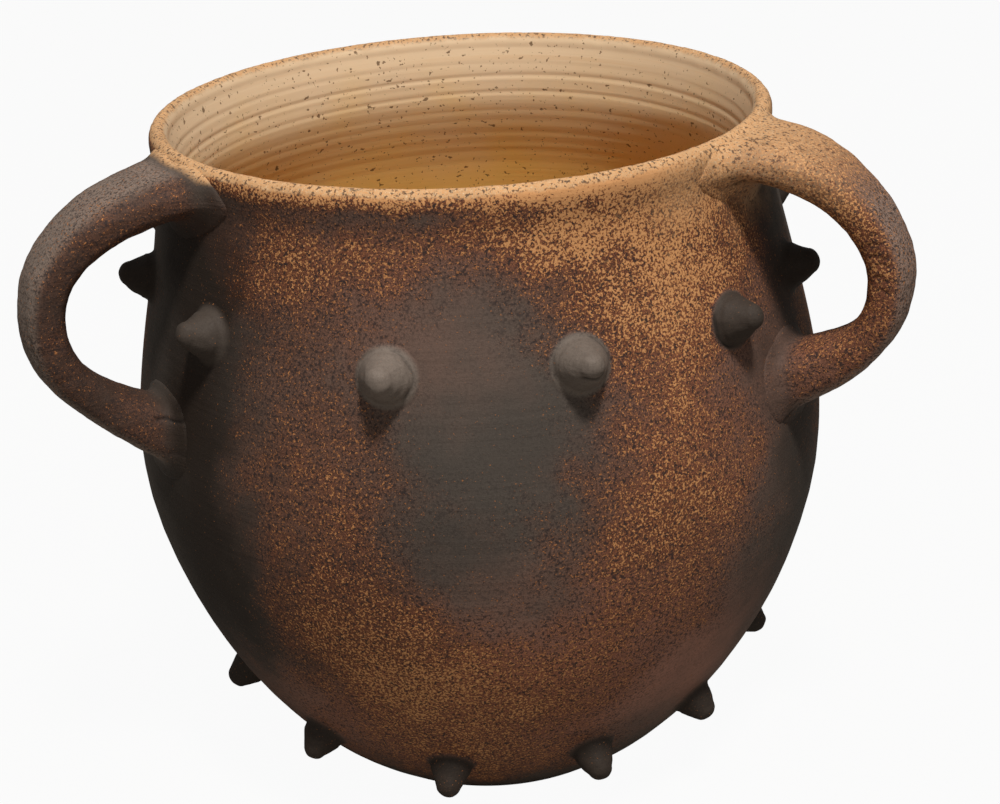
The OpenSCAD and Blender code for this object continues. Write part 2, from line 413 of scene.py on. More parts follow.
def lip_distances(points, outline):
    """Each point's distance from the lip's top along the outline, and inside more than 0."""
    line = np.array(outline)
    run = np.concatenate([[0], np.cumsum(np.hypot(*np.diff(line, axis=0).T))])
    run = run - run[int(np.argmax(line[:, 1]))]
    place = np.column_stack([radius_of(points), points[:, 2]])
    nearest = [int(np.argmin(((line - p) ** 2).sum(1))) for p in place]
    return run[nearest]


def cut_grooves(pot, distances):
    """Presses the finger grooves into the inside, and roughens the lip with grit."""
    sizes = bpy.context.scene.cauldron_pot
    points = points_of(pot)
    turn = turn_of(points)
    depth = distances / MM
    drift = smooth_step(depth, 6, 16) * sizes.drift / MM * (
        np.sin(turn + 0.6) + 0.4 * np.sin(2 * turn + 1.9) + 0.15 * np.sin(5 * turn))
    draw = random.Random(12)
    grooves = list(UPPER_GROOVES)
    place = LOWER_GROOVES_FROM
    while place < 250:
        grooves.append((place, draw.uniform(0.03, 0.16)))
        place += draw.uniform(4.2, 7.4)
    cut = np.zeros(len(points))
    half = sizes.groove_width / MM
    for place, share in grooves:
        fade = 1 + 0.35 * np.sin(turn * draw.choice([1, 2, 3]) + draw.uniform(0, 6))
        wide = half * (1 if place < LOWER_GROOVES_FROM else 1.5)
        cut += share * fade * np.exp(-((depth + drift - place) / wide) ** 2)
    out = np.where(distances > 0, cut * sizes.groove, 0)
    radius = radius_of(points)
    rim = np.abs(distances) < 9 * MM
    rough = np.zeros(len(points))
    rough[rim] = lumps(points[rim], 3.2 * MM, 1) + 0.6 * lumps(points[rim], 11 * MM, 2)
    fade = smooth_step(9 * MM - np.abs(distances), 0, 5 * MM)
    away = normals_of(pot)
    points = points + away * (rough * fade * sizes.grit)[:, None]
    spread = (radius + out + hand_push(points)) / np.maximum(radius, 1e-9)
    spread = np.where(radius > 60 * MM, spread, 1)
    foot = smooth_step(points[:, 2], 0, 20 * MM)
    points[:, :2] *= (1 + (spread - 1) * foot)[:, None]
    points[:, 2] = np.minimum(points[:, 2], POT_TOP)
    move_points(pot, points)


class CAULDRON_OT_pot(bpy.types.Operator):
    """Throws the pot: its outline is spun round, grooved by the fingers and left a little uneven"""
    bl_idname = "cauldron.pot"
    bl_label = "Throw the pot"

    def execute(self, context):
        outline = pot_outline()
        pot = spin_outline("thrown_pot", outline, context.scene.cauldron_pot.steps)
        distances = lip_distances(points_of(pot), outline)
        note(pot, "lip_distance", distances)
        cut_grooves(pot, distances)
        cover(pot, thrown_clay())
        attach(pot, "root")
        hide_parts("pot_body")
        return {"FINISHED"}


# The handles

# Shares of a strap's length over which it widens to the lip and to its lower root
TOP_SHARE = 0.5
ROOT_SHARE = 0.3
# How deep a strap starts behind the wall, and how deep it still is there once cut to its seat
BURY = 12 * MM
SEAT_DEPTH = 3.5 * MM
STRAP_SIDES = 96
STRAP_STATIONS = 240
PATH_STEPS = 96
STRAP_TURN = math.radians(60)

# Marks in the wet clay of each strap, as (share of the way along, degrees round the section, slant
# in degrees, half length, half width, depth), in mm; 90 degrees is the outer face, 0 and 180 the sides
LEFT_MARKS = [
    (0.22, 150, 70, 4, 0.6, 0.25), (0.89, 215, 8, 8, 0.5, 0.9), (0.93, 160, 60, 5, 0.6, 0.4),
    (0.55, 120, 15, 10, 1.0, 0.25), (0.30, 262, 6, 12, 0.9, 0.3)]
RIGHT_MARKS = [
    (0.44, 12, 80, 6, 0.5, 0.6), (0.47, 6, 74, 7, 0.45, 0.6), (0.49, 14, 82, 5, 0.5, 0.55),
    (0.52, 4, 76, 6, 0.45, 0.6), (0.55, 10, 84, 5, 0.45, 0.5), (0.42, 20, 86, 4, 0.45, 0.45),
    (0.12, 62, 40, 2.5, 0.45, 0.5), (0.14, 80, 60, 2, 0.45, 0.5), (0.15, 100, 42, 2.5, 0.45, 0.5),
    (0.17, 70, 50, 3, 0.45, 0.45), (0.19, 90, 66, 2, 0.4, 0.45), (0.13, 45, 30, 3, 0.5, 0.5),
    (0.20, 55, 44, 2.5, 0.4, 0.45), (0.115, 335, 5, 8, 0.6, 0.8), (0.93, 60, 12, 9, 0.6, 0.5),
    (0.95, 90, 20, 8, 0.6, 0.4)]


def strap_line(strap):
    """The two bends of a strap's middle line, as four (radius, height) points each."""
    top = POT_TOP - strap.drop
    low = POT_TOP - strap.root_drop
    start = Vector((float(WALL.radius(top)) - BURY, top))
    end = Vector((float(WALL.radius(low)) - BURY, low - BURY / 2))
    bend = Vector((strap.stand, POT_TOP - strap.bend_drop))
    return [
        (start, start + Vector((strap.pull, strap.pull_rise)), bend + Vector((0, strap.above)), bend),
        (bend, bend - Vector((0, strap.below)), end + Vector((strap.land, strap.land_rise)), end)]


def near_root(share, reach):
    return 0 if share > reach else (1 - share / reach) ** 2


def strap_stations(strap, line):
    """Each station's place along the strap and half its thickness and width there."""
    straps = bpy.context.scene.cauldron_straps
    fine = 200
    shares, places = [], []
    for half, (a, b, c, d) in enumerate(line):
        for i in range(fine + 1):
            t = i / fine
            places.append((1 - t) ** 3 * a + 3 * (1 - t) ** 2 * t * b + 3 * (1 - t) * t * t * c + t ** 3 * d)
            shares.append((half + t) / 2)
    run = np.concatenate([[0], np.cumsum([(q - p).length for p, q in zip(places, places[1:])])])
    stations = []
    for place in np.linspace(0, run[-1], STRAP_STATIONS):
        share = float(np.interp(place, run, shares))
        top = near_root(share, TOP_SHARE)
        root = near_root(1 - share, ROOT_SHARE)
        wide = straps.width + (strap.spread - straps.width) * top + (straps.root_width - straps.width) * root
        thick = straps.thickness + strap.top_extra * top + strap.root_extra * root
        stations.append((float(place), thick / 2, wide / 2))
    return stations


def square_section(points):
    """Turns the first circle into a rounded rectangle: thickness along Y, width along Z."""
    power = 2 / bpy.context.scene.cauldron_straps.square
    flat = points[:, 1:]
    out = points.copy()
    out[:, 1:] = np.sign(flat) * np.abs(flat) ** power
    return out


def bend_strap(piece, line, turn):
    """Bends the straight strap along its middle line and stands it up against the pot."""
    path = bpy.data.curves.new("strap_path", "CURVE")
    path.dimensions = "2D"
    path.resolution_u = PATH_STEPS
    spline = path.splines.new("BEZIER")
    spline.resolution_u = PATH_STEPS
    spline.bezier_points.add(2)
    (a, b, c, d), (_, f, g, h) = line
    knots = [(a, a - (b - a), b), (d, c, f), (h, g, h + (h - g))]
    for point, (place, before, after) in zip(spline.bezier_points, knots):
        point.handle_left_type = point.handle_right_type = "FREE"
        point.co = (*place, 0)
        point.handle_left = (*before, 0)
        point.handle_right = (*after, 0)
    guide = link_new("strap_path", path)
    bend = piece.modifiers.new("Bend", "CURVE")
    bend.object = guide
    bend.deform_axis = "POS_X"
    finish_modifier(piece, bend)
    bpy.data.objects.remove(guide)
    bpy.data.curves.remove(path)
    piece.rotation_euler = (math.pi / 2, 0, turn - math.pi / 2)
    take(piece)
    bpy.ops.object.transform_apply(location=True, rotation=True, scale=True)


def smear_onto_wall(piece, centres):
    """Spreads the strap's skin out sideways where it nears the wall, as a thumb smears it."""
    straps = bpy.context.scene.cauldron_straps
    points = points_of(piece)
    high = smooth_step(points[:, 2], POT_TOP - 60 * MM, POT_TOP - 30 * MM)
    smear = straps.smear + (straps.top_smear - straps.smear) * high
    gap = WALL.distance(points)
    near = np.clip(1 - gap / (1.25 * smear), 0, 1) ** 4
    near = np.where(gap < 0, 1, near)
    aside = points - centres
    out = np.column_stack([points[:, 0], points[:, 1], np.zeros(len(points))])
    out /= np.linalg.norm(out, axis=1)[:, None]
    out[:, 2] = -WALL.slope(points[:, 2])
    out /= np.linalg.norm(out, axis=1)[:, None]
    aside -= out * (aside * out).sum(1)[:, None]
    aside /= np.maximum(np.linalg.norm(aside, axis=1), 1e-6)[:, None]
    upward = np.clip(aside[:, 2], 0, 1) * smooth_step(points[:, 2], POT_TOP - 40 * MM, POT_TOP - 20 * MM)
    amount = smear * near * (1 - upward) ** 2
    points = points + aside * amount[:, None]
    points[:, 2] = np.minimum(points[:, 2], POT_TOP - 1.2 * MM)
    move_points(piece, points)


def score(piece, marks, length_along, across):
    """Cuts the marks into the strap's skin and notes where they are."""
    along = noted(piece, "along") * length_along / MM
    around = noted(piece, "around")
    points, away = points_of(piece), normals_of(piece)
    cut = np.zeros(len(points))
    for share, degrees, slant, half, wide, deep in marks:
        shift = (around - degrees + 180) % 360 - 180
        x = along - share * length_along / MM
        y = shift * across / 360 / MM
        lean = math.radians(slant)
        run = x * math.cos(lean) + y * math.sin(lean)
        off = -x * math.sin(lean) + y * math.cos(lean) + 0.5 * np.sin(run * 0.9)
        cut = np.maximum(cut, deep * np.exp(-(off / wide) ** 2) * smooth_step(half - np.abs(run), 0, 3))
    note(piece, "crease", np.clip(cut / 0.8, 0, 1))
    move_points(piece, points - away * (cut * MM)[:, None])


def uneven(piece, name, size, strength):
    """Leaves the skin a little lumpy."""
    texture = bpy.data.textures.new(name, "CLOUDS")
    texture.noise_scale = size
    texture.noise_depth = 2
    modifier = piece.modifiers.new(name, "DISPLACE")
    modifier.texture = texture
    modifier.texture_coords = "LOCAL"
    modifier.strength = strength
    modifier.mid_level = 0.5
    finish_modifier(piece, modifier)
    bpy.data.textures.remove(texture)


def wall_core(depth):
    """What lies deeper than a depth inside the pot's outer wall, and the air above it."""
    levels = np.arange(-20 * MM, POT_TOP - 5 * MM, 4 * MM)
    side = [(float(WALL.radius(z)) - depth, float(z)) for z in levels]
    top = POT_TOP + 20 * MM
    lid = side[-1][0] - 3 * MM
    core = spin_outline("wall_core", [(0, side[0][1])] + side + [(lid, POT_TOP), (lid, top), (0, top)], 180)
    points = points_of(core)
    radius = radius_of(points)
    grow = (radius + np.where(radius > 60 * MM, hand_push(points), 0)) / np.maximum(radius, 1e-9)
    points[:, :2] *= grow[:, None]
    move_points(core, points)
    return core


def cut_to_wall(piece):
    """Cuts away what of a strap would lie inside the pot's wall."""
    core = wall_core(SEAT_DEPTH)
    cut = piece.modifiers.new("Seat", "BOOLEAN")
    cut.operation = "DIFFERENCE"
    cut.solver = "EXACT"
    cut.object = core
    finish_modifier(piece, cut)
    bpy.data.objects.remove(core)


def pull_strap(name, node, strap, turn, marks, material):
    """Models one strap: drawn straight, bent, smeared onto the wall, marked and cut to seat."""
    straps = bpy.context.scene.cauldron_straps
    line = strap_line(strap)
    stations = strap_stations(strap, line)
    piece = draw_up(name, STRAP_SIDES, stations, "X", square_section)
    points = points_of(piece)
    full = stations[-1][0]
    half_width = np.interp(points[:, 0], [s[0] for s in stations], [s[2] for s in stations])
    feather = smooth_step(points[:, 0] / full, 0.28, 0.06) * straps.feather
    feather = np.where(points[:, 1] < 0, feather, 0)
    points[:, 1] *= 1 - feather * (np.abs(points[:, 2]) / half_width) ** 2
    move_points(piece, points)
    note(piece, "along", points[:, 0] / full)
    around = np.arctan2(points[:, 1] / straps.thickness, points[:, 2] / straps.width)
    note(piece, "around", np.degrees(around) % 360)
    note(piece, "outward", np.sin(around))
    middle = link_new("middle", piece.data.copy())
    centre = points.copy()
    centre[:, 1:] = 0
    move_points(middle, centre)
    for body in (piece, middle):
        bend_strap(body, line, turn)
    centres = points_of(middle)
    bpy.data.objects.remove(middle)
    smear_onto_wall(piece, centres)
    score(piece, marks, full, 2 * (straps.width + straps.thickness) * 0.9)
    uneven(piece, "soft_lumps", 22 * MM, 1.6 * MM)
    uneven(piece, "grain", 3.5 * MM, 0.35 * MM)
    cut_to_wall(piece)
    note(piece, "off_wall", WALL.distance(points_of(piece)))
    cover(piece, material)
    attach(piece, "root")
    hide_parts(node)
    return piece


class CAULDRON_OT_handles(bpy.types.Operator):
    """Pulls the two strap handles, bends them and smears their roots onto the pot"""
    bl_idname = "cauldron.handles"
    bl_label = "Pull the handles"

    def execute(self, context):
        scene = context.scene
        pull_strap("left_handle", "handle_left", scene.cauldron_left, -STRAP_TURN, LEFT_MARKS, left_clay())
        pull_strap("right_handle", "handle_right", scene.cauldron_right, STRAP_TURN, RIGHT_MARKS, right_clay())
        return {"FINISHED"}


# The studs

STUD_SIDES = 64
STUD_LENGTH = 15 * MM
# Thin cracks round three studs in front, as (from, to in degrees, counted from the top
# clockwise as the camera sees them, share of the foot's radius, depth in mm)
STUD_CRACKS = {
    ("upper", 3): [(10, 140, 0.80, 0.35), (-60, -25, 0.86, 0.25)],
    ("upper", 4): [(20, 95, 0.82, 0.35), (-110, -60, 0.84, 0.4), (125, 230, 0.42, 0.55)],
    ("upper", 5): [(200, 300, 0.84, 0.6)]}
# How much pale bloom and painted light the slip of each front stud has; studs 3 and 4 are painted paler as lit
# studs
STUD_BLOOM_AND_LIGHT = {("upper", 3): 0.45, ("upper", 4): 0.38, ("upper", 2): 0.08, ("upper", 5): 0.05}
# How far each upper stud in sight sits round (degrees) and up (mm) from its solid
STUD_NUDGES = {1: (0, -1.5), 2: (0, -2), 3: (-0.6, -3.5), 4: (0.9, -4.5), 5: (0, -5), 6: (0, -2)}


def stud_stations(length_out, tip, body, foot):
    """A stud's outline from its buried end to its tip, as draw_up takes it."""
    line = [(-3 * MM, foot + 2.2 * MM), (-1.2 * MM, foot + 2.2 * MM), (-0.35 * MM, foot + 1.6 * MM),
            (-0.12 * MM, foot + 0.8 * MM)]
    shoulder = (4 * MM, body)
    for i in range(9):
        t = i / 8
        radius = (1 - t) ** 2 * foot + 2 * (1 - t) * t * (body + 0.4 * MM) + t * t * shoulder[1]
        height = 2 * (1 - t) * t * 0.8 * MM + t * t * shoulder[0]
        line.append((height, radius))
    centre = length_out - tip
    lean = math.radians(16)
    start = (centre + tip * math.sin(lean), tip * math.cos(lean))
    for i in range(1, 12):
        t = i / 12
        line.append((shoulder[0] + (start[0] - shoulder[0]) * t, body + (start[1] - body) * t))
    for i in range(14):
        angle = lean + (math.radians(87) - lean) * i / 13
        line.append((centre + tip * math.sin(angle), tip * math.cos(angle)))
    return [(height, radius, radius) for height, radius in line]


def stud_place(node, rise, nudge):
    """Where a solid stud stands: its foot on the wall, its own axis and its length."""
    points = points_of(node)
    middle = points.mean(0)
    turn = math.atan2(middle[0], -middle[1])
    level = Vector((math.sin(turn), -math.cos(turn), 0))
    axis = level * math.cos(rise) + Vector((0, 0, math.sin(rise)))
    reach = points @ np.array(axis)
    tip = Vector(points[int(np.argmax(reach))])
    reach = (tip - WALL.cast(tip, -axis)).length
    degrees, up = nudge
    tip = Matrix.Rotation(math.radians(degrees), 3, "Z") @ tip + Vector((0, 0, up * MM))
    axis = Matrix.Rotation(math.radians(degrees), 3, "Z") @ axis
    foot = WALL.cast(tip + axis * 30 * MM, -axis)
    return foot, axis, turn + math.radians(degrees), reach


def press_studs(row, body, foot_radius, rise, material, seed):
    """Models one stud and copies it onto each place of a row, each with lumps of its own."""
    studs = bpy.context.scene.cauldron_studs
    first = draw_up("stud", STUD_SIDES, stud_stations(STUD_LENGTH, studs.tip, body, foot_radius), "Z")
    shape = points_of(first)
    for number in range(1, 13):
        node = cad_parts[f"stud_{row}_{number}"]
        nudge = STUD_NUDGES.get(number, (0, 0)) if row == "upper" else (0, 0)
        foot, axis, turn, reach = stud_place(node, rise, nudge)
        stud = link_new(f"{row}_stud_{number}", first.data.copy())
        stud.data.name = stud.name
        points = shape.copy()
        tall = smooth_step(points[:, 2], 2 * MM, 8 * MM)
        points[:, 2] = np.where(points[:, 2] > 0, points[:, 2] * reach / STUD_LENGTH, points[:, 2])
        side = Vector((math.cos(turn), math.sin(turn), 0))
        turned = Matrix((side, axis.cross(side), axis)).transposed()
        note(stud, "bloom_and_light", np.full(len(points), STUD_BLOOM_AND_LIGHT.get((row, number), 0.0)))
        share = radius_of(points) / foot_radius
        note(stud, "spread", share)
        placed = points @ np.array(turned).T + np.array(foot)
        out = np.array(axis)
        for _ in range(2):
            lift = points[:, 2] - WALL.distance(placed)
            placed = placed + out * (lift * (1 - tall))[:, None]
        move_points(stud, placed)
        away = normals_of(stud)
        rough = 0.7 * lumps(placed, 9 * MM, seed + number) + 0.25 * lumps(placed, 3 * MM, seed + number + 40)
        rise_share = smooth_step(points[:, 2], -0.5 * MM, 4 * MM)
        placed = placed + away * (rough * rise_share * 0.8 * MM)[:, None]
        cut = np.zeros(len(points))
        clock = np.degrees(np.arctan2(points[:, 0], points[:, 1]))
        for first_turn, last_turn, ring, deep in STUD_CRACKS.get((row, number), []):
            middle, half = (first_turn + last_turn) / 2, (last_turn - first_turn) / 2
            off = np.abs((clock - middle + 180) % 360 - 180)
            thin = ((share - ring - 0.02 * np.sin(np.radians(clock * 5))) / 0.032) ** 2
            cut = np.maximum(cut, deep * np.exp(-thin) * smooth_step(half - off, -6, 8))
        note(stud, "crease", np.clip(cut / 0.6, 0, 1))
        placed = placed - away * (cut * MM)[:, None]
        move_points(stud, placed)
        cover(stud, material)
        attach(stud, "root")
        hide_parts(f"stud_{row}_{number}")
    bpy.data.objects.remove(first)


class CAULDRON_OT_upper_studs(bpy.types.Operator):
    """Presses the upper row of studs onto the shoulder"""
    bl_idname = "cauldron.upper_studs"
    bl_label = "Press on the upper studs"

    def execute(self, context):
        studs = context.scene.cauldron_studs
        press_studs("upper", studs.upper_body, studs.upper_foot, studs.upper_rise, upper_clay(), 10)
        return {"FINISHED"}


class CAULDRON_OT_lower_studs(bpy.types.Operator):
    """Presses the lower row of studs on near the foot"""
    bl_idname = "cauldron.lower_studs"
    bl_label = "Press on the lower studs"

    def execute(self, context):
        studs = context.scene.cauldron_studs
        press_studs("lower", studs.lower_body, studs.lower_foot, studs.lower_rise, lower_clay(), 60)
        return {"FINISHED"}


# The finishes


class Wiring:
    """Adds nodes to one node tree and joins them up."""

    def __init__(self, tree):
        self.tree = tree

    def add(self, kind, inputs=None, **settings):
        node = self.tree.nodes.new(kind)
        for key, value in settings.items():
            setattr(node, key, value)
        for key, value in (inputs or {}).items():
            self.feed(node.inputs[key], value)
        return node

    def feed(self, socket, value):
        if isinstance(value, bpy.types.NodeSocket):
            self.tree.links.new(value, socket)
        else:
            socket.default_value = value

    def math(self, operation, first, second=0.0, third=0.0, clamp=False):
        return self.add(
            "ShaderNodeMath", {0: first, 1: second, 2: third}, operation=operation, use_clamp=clamp).outputs[0]

    def times(self, first, second, plus=None):
        if plus is None:
            return self.math("MULTIPLY", first, second)
        return self.math("MULTIPLY_ADD", first, second, plus)

    def most(self, first, second):
        return self.math("MAXIMUM", first, second)

    def stirred(self, noise, amount, value):
        """A value moved up and down by a noise around its middle."""
        return self.times(self.math("SUBTRACT", noise, 0.5), amount, value)

    def mix(self, factor, first, second, blend="MIX"):
        return self.add(
            "ShaderNodeMix", {0: factor, 6: first, 7: second}, data_type="RGBA", blend_type=blend).outputs[2]

    def noise(self, vector, scale, detail=2.0, rough=0.5, output="Fac"):
        return self.add(
            "ShaderNodeTexNoise",
            {"Vector": vector, "Scale": scale, "Detail": detail, "Roughness": rough}).outputs[output]

    def grey(self, value):
        return self.add("ShaderNodeCombineColor", {0: value, 1: value, 2: value}).outputs[0]

    def blend(self, factor, first, second):
        return self.add("ShaderNodeMix", {0: factor, 2: first, 3: second}, data_type="FLOAT").outputs[0]

    def ramp(self, value, low, high, out_low=0.0, out_high=1.0):
        return self.add(
            "ShaderNodeMapRange",
            {"Value": value, "From Min": low, "From Max": high, "To Min": out_low, "To Max": out_high},
            interpolation_type="SMOOTHSTEP").outputs[0]

    def stretched(self, vector, scale):
        return self.add("ShaderNodeMapping", {"Vector": vector, "Scale": scale}).outputs[0]

    def group(self, name, build, inputs):
        """A node of a shared group, which is built at its first use."""
        tree = bpy.data.node_groups.get(name) or build()
        node = self.add("ShaderNodeGroup", node_tree=tree)
        for label, value in inputs.items():
            self.feed(node.inputs[label], value)
        return node.outputs

    def attribute(self, name):
        return self.add("ShaderNodeAttribute", attribute_name=name).outputs["Fac"]


def fresh_wiring(block):
    """Wiring for a material or a world, with its own first nodes taken away."""
    block.use_nodes = True
    block.node_tree.nodes.clear()
    return Wiring(block.node_tree)


def seen_as_white(wires, share, plain, white):
    """Shows white to the camera and to rays through glass, and the plain shader to all others."""
    seen = wires.add("ShaderNodeLightPath").outputs
    rays = wires.math("ADD", seen["Is Camera Ray"], seen["Is Transmission Ray"], clamp=True)
    return wires.add(
        "ShaderNodeMixShader", {0: wires.times(rays, share), 1: plain.outputs[0], 2: white.outputs[0]}).outputs[0]


def finish_colours():
    """The colours of the finish by name, as a shader's colour sockets take them."""
    finish = bpy.context.scene.cauldron_finish
    return {name: (*getattr(finish, name), 1) for name in CAULDRON_PG_finish.__annotations__}


def new_group(name, takes, gives):
    """An empty node group with named inputs and outputs, and the wiring to fill it."""
    tree = bpy.data.node_groups.new(name, "ShaderNodeTree")
    for label, kind, value in takes:
        socket = tree.interface.new_socket(name=label, in_out="INPUT", socket_type=kind)
        if value is not None:
            socket.default_value = value
    for label, kind in gives:
        tree.interface.new_socket(name=label, in_out="OUTPUT", socket_type=kind)
    wires = Wiring(tree)
    return tree, wires, tree.nodes.new("NodeGroupInput").outputs, tree.nodes.new("NodeGroupOutput").inputs


FLOAT, VECTOR, COLOUR = "NodeSocketFloat", "NodeSocketVector", "NodeSocketColor"
# Where the finish changes at the lip, as distances along the outline from the lip's top
BARE_FROM = (-5.0 * MM, -3.4 * MM)
RUSTY_FROM = (-12.0 * MM, -4.5 * MM)
GLAZED_FROM = (1.8 * MM, 4.6 * MM)
# Heights between which the glaze turns to honey, and then to amber
HONEY_BELOW = (285 * MM, 210 * MM)
AMBER_BELOW = (220 * MM, 150 * MM)
CLAY_SHEEN = 0.14
RELIEF = 0.6 * MM

# Marks that the kiln left on the outside wall, with painted shade under the handles among the char ones,
# as (turn in degrees, height, reach round, reach up, strength), in mm
RUST_PATCHES = [
    (-27, 214, 68, 86, 0.29), (-22, 160, 76, 90, 0.34), (-20, 112, 80, 80, 0.42),
    (-8, 84, 90, 60, 0.32), (-32, 262, 74, 50, 0.34), (-8, 270, 90, 40, 0.46),
    (16, 284, 80, 30, 0.50), (38, 284, 70, 30, 0.45), (32, 262, 90, 66, 0.56),
    (50, 256, 64, 60, 0.30), (33, 222, 72, 86, 0.40), (27, 176, 76, 90, 0.38),
    (22, 126, 84, 76, 0.34), (42, 150, 60, 80, 0.22), (6, 90, 100, 64, 0.38),
    (-4, 38, 120, 48, 0.60), (-46, 70, 80, 60, 0.18), (-84, 200, 56, 110, 0.50),
    (76, 190, 56, 110, 0.50),
    (-100, 180, 90, 90, 0.25), (110, 210, 90, 80, 0.5), (160, 170, 100, 90, 0.45),
    (-150, 200, 90, 80, 0.35), (180, 60, 110, 50, 0.4)]
MAUVE_PATCHES = [
    (8, 96, 110, 80, 0.80), (28, 92, 80, 76, 0.60), (-10, 66, 100, 60, 0.70),
    (0, 276, 160, 30, 0.30), (36, 205, 76, 110, 0.50), (-16, 245, 70, 50, 0.35),
    (-24, 170, 60, 80, 0.20), (-40, 60, 70, 50, 0.35), (48, 70, 70, 60, 0.40),
    (170, 120, 120, 90, 0.5), (105, 150, 90, 90, 0.4)]
# Dark slip; the patches near -52 to -56 and 60 to 62 degrees, under the handles, are painted shade
CHAR_AND_SHADE_PATCHES = [
    (-52, 200, 62, 130, 1.00), (-52, 100, 74, 90, 0.80), (-34, 160, 60, 120, 0.35),
    (-56, 268, 70, 44, 0.80), (60, 180, 52, 130, 0.75), (62, 246, 44, 60, 0.65),
    (52, 84, 70, 80, 0.35), (-38, 44, 80, 50, 0.30), (-44, 262, 50, 46, 0.35),
    (30, 40, 60, 40, 0.10), (-120, 120, 100, 100, 0.5), (130, 80, 100, 80, 0.4)]
TAN_PATCHES = [(56, 291, 70, 34, 0.8), (64, 288, 60, 40, 0.5)]
FIELDS = {"Rust": RUST_PATCHES, "Mauve": MAUVE_PATCHES, "Char": CHAR_AND_SHADE_PATCHES, "Tan": TAN_PATCHES}


def patch_group():
    """One soft-edged patch on the outside: 1 at its middle, 0 at its reach."""
    tree, wires, given, out = new_group(
        "Kiln patch",
        [("Vector", VECTOR, None), ("Scale", VECTOR, None), ("Offset", VECTOR, None),
         ("Strength", FLOAT, 1.0), ("Below", FLOAT, 0.0)],
        [("Value", FLOAT)])
    placed = wires.add(
        "ShaderNodeVectorMath", {0: given["Vector"], 1: given["Scale"], 2: given["Offset"]},
        operation="MULTIPLY_ADD").outputs[0]
    ball = wires.add("ShaderNodeTexGradient", {"Vector": placed}, gradient_type="SPHERICAL").outputs[1]
    soft = wires.ramp(ball, 0.0, 1.0)
    wires.feed(out["Value"], wires.times(soft, given["Strength"], given["Below"]))
    return tree


def add_patch(wires, vector, place, reach, strength, below=0.0):
    """Adds one patch to what is below it; place and reach are in mm."""
    return wires.group("Kiln patch", patch_group, {
        "Vector": vector, "Scale": tuple(1 / (r * MM) for r in reach),
        "Offset": tuple(-p / r for p, r in zip(place, reach)), "Strength": strength, "Below": below})["Value"]


def kiln_group(name, patches):
    """The sum of a list of patches, at any place on the object."""
    tree, wires, given, out = new_group(name, [("Vector", VECTOR, None)], [("Value", FLOAT)])
    total = 0.0
    for degrees, height, across, up, strength in patches:
        turn = math.radians(degrees)
        radius = float(WALL.radius(height * MM)) / MM
        place = (radius * math.sin(turn), -radius * math.cos(turn), height)
        total = add_patch(wires, given["Vector"], place, (across, across, up), strength, total)
    wires.feed(out["Value"], wires.math("MINIMUM", total, 1.0))
    return tree


def kiln_fields():
    """Where the kiln left rust, mauve, char and bare tan clay outside, with wandering edges; the char also holds
    painted shade under the handles.
    """
    tree, wires, given, out = new_group(
        "Kiln fields", [("Vector", VECTOR, None)], [(label, FLOAT) for label in FIELDS])
    drift = wires.noise(given["Vector"], 34.0, 3.0, 0.55, "Color")
    centred = wires.add(
        "ShaderNodeVectorMath", {0: drift, 1: (0.5, 0.5, 0.5)}, operation="SUBTRACT").outputs[0]
    moved = wires.add(
        "ShaderNodeVectorMath", {0: centred, 1: (0.06, 0.06, 0.06), 2: given["Vector"]},
        operation="MULTIPLY_ADD").outputs[0]
    for label, patches in FIELDS.items():
        name = f"{label} patches"
        group = wires.group(name, partial(kiln_group, name, patches), {"Vector": moved})
        wires.feed(out[label], group["Value"])
    return tree


